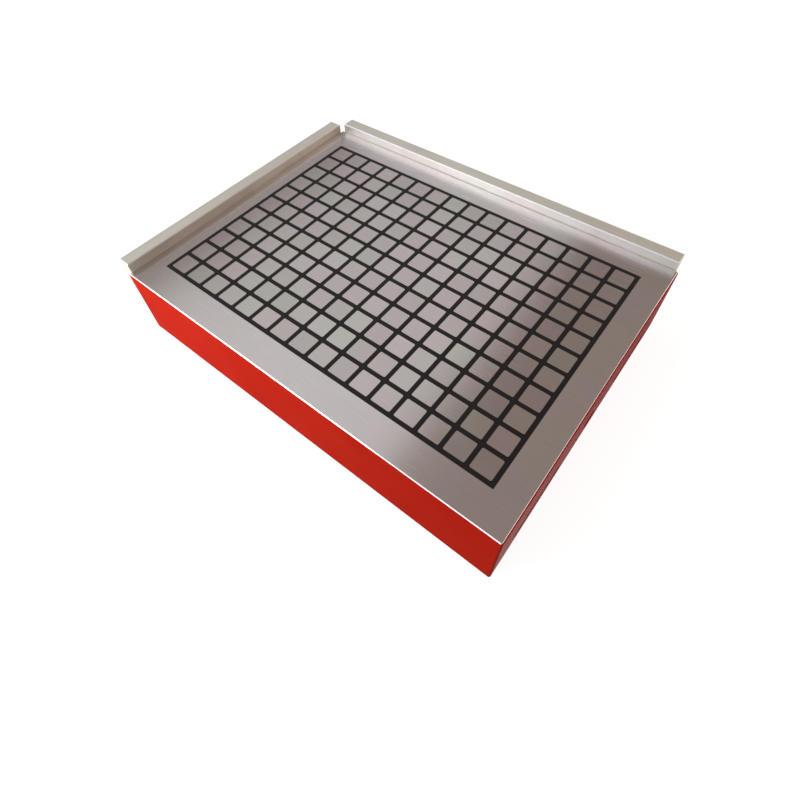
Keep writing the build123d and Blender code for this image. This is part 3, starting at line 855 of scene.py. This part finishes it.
glow = add_node(floor_tree, "Mix", MIX_VALUES, {0: seen, 2: 0.0, 3: FLOOR_GLOW})
feed(floor_tree, floor_shader, {"Emission Strength": glow})
floor_data.materials.append(floor_material)
print("floor at", round(housing_low.z / MM, 2), "mm")

# %% [markdown]
# ## Light
#
# Soft studio light. A near softbox at the left lights the red side, more at its left end. Two wide
# ones in front, one of them further left, make the ground chamfer and the inner side of the back
# rail gleam. The ground top is close to a mirror for what hangs over its far left, so a weak
# panel there sets its tone, bright in the middle and darker to the right. A panel high behind at
# the right lights the back end of the left rail, and a low one behind keeps the back from going
# dark. Lamps are large and weak rather than small and strong, so that steel shows them pale grey
# and not as white spots.

# %% Lamps


def softbox(name, place, target, size, radiance, colour):
    """A rectangular area lamp aimed at a point, with its size and its radiance given."""
    width, height = size
    data = bpy.data.lights.new(name, "AREA")
    data.shape = "RECTANGLE"
    data.size = width
    data.size_y = height
    data.energy = radiance * math.pi * width * height
    data.color = linear(colour)[:3]
    lamp = bpy.data.objects.new(name, data)
    scene.collection.objects.link(lamp)
    aim = (Vector(target) - Vector(place)).to_track_quat("-Z", "Y")
    lamp.matrix_world = Matrix.Translation(place) @ aim.to_matrix().to_4x4()
    lamp.visible_camera = False
    return lamp


softbox("near_window", (-0.23, -0.42, 0.17), (-0.13, -0.15, 0.03), (0.4, 0.35), 2.0, "#fffaf5")
softbox("front_left_window", (-0.72, -0.92, 0.78), (0, 0, 0.07), (0.8, 1.1), 3.05, "#dbecff")
softbox("front_window", (-0.14, -1.24, 0.86), (0.06, 0, 0.07), (0.82, 1.0), 2.15, "#d0e2ff")
softbox("ceiling_panel", (-0.655, 0.6, 0.96), (-0.655, 0.6, 0), (0.97, 1.5), 0.58, "#e8f7ff")
softbox("back_right_panel", (0.97, 1.21, 1.04), (-0.2, 0.12, 0.08), (0.5, 0.5), 1.9, "#fff8ea")
softbox("back_fill", (0.45, 1.25, 0.3), (0, 0, 0.04), (1.4, 0.55), 1.0, "#fffaf5")
print("lamps:", len(bpy.data.lights))

# %% [markdown]
# The room itself is dim, and a little brighter overhead. The camera sees it white all over, and
# metal mirrors it as white as the floor near the horizon, so that the floor has no visible end.

# %% Room
WALL_LIGHT = 0.22
CEILING_LIGHT = 0.375
HORIZON_FADE = {"From Min": 0.05, "From Max": 0.2, "To Min": 1.0, "To Max": 0.0}
ROOM_FADE = {"From Min": 0.5, "From Max": 0.7, "To Min": WALL_LIGHT, "To Max": CEILING_LIGHT}

world = bpy.data.worlds.new("studio")
scene.world = world
world.use_nodes = True
world_tree = world.node_tree
surround = world_tree.nodes["Background"]
world_path = add_node(world_tree, "LightPath").node
direction = add_node(world_tree, "TexCoord", output="Generated")
rise = add_node(world_tree, "SeparateXYZ", inputs={0: direction}, output="Z")
horizon = add_node(world_tree, "MapRange", inputs={"Value": rise, **HORIZON_FADE})
near_horizon = {0: mirrored_rays(world_path), 1: horizon}
mirrored = add_node(world_tree, "Math", {"operation": "MULTIPLY"}, near_horizon)
seen_white = {0: world_path.outputs["Is Camera Ray"], 1: mirrored}
white = add_node(world_tree, "Math", {"operation": "MAXIMUM"}, seen_white)
room = add_node(world_tree, "MapRange", inputs={"Value": rise, **ROOM_FADE})
tones = {0: white, 6: linear("#ffeee4"), 7: linear("#ffffff")}
colour = add_node(world_tree, "Mix", MIX_COLOURS, tones, 2)
strength = add_node(world_tree, "Mix", MIX_VALUES, {0: white, 2: room, 3: 1.0})
feed(world_tree, surround, {"Color": colour, "Strength": strength})
scene.view_settings.view_transform = "Standard"
print("room light:", WALL_LIGHT, "to", CEILING_LIGHT)
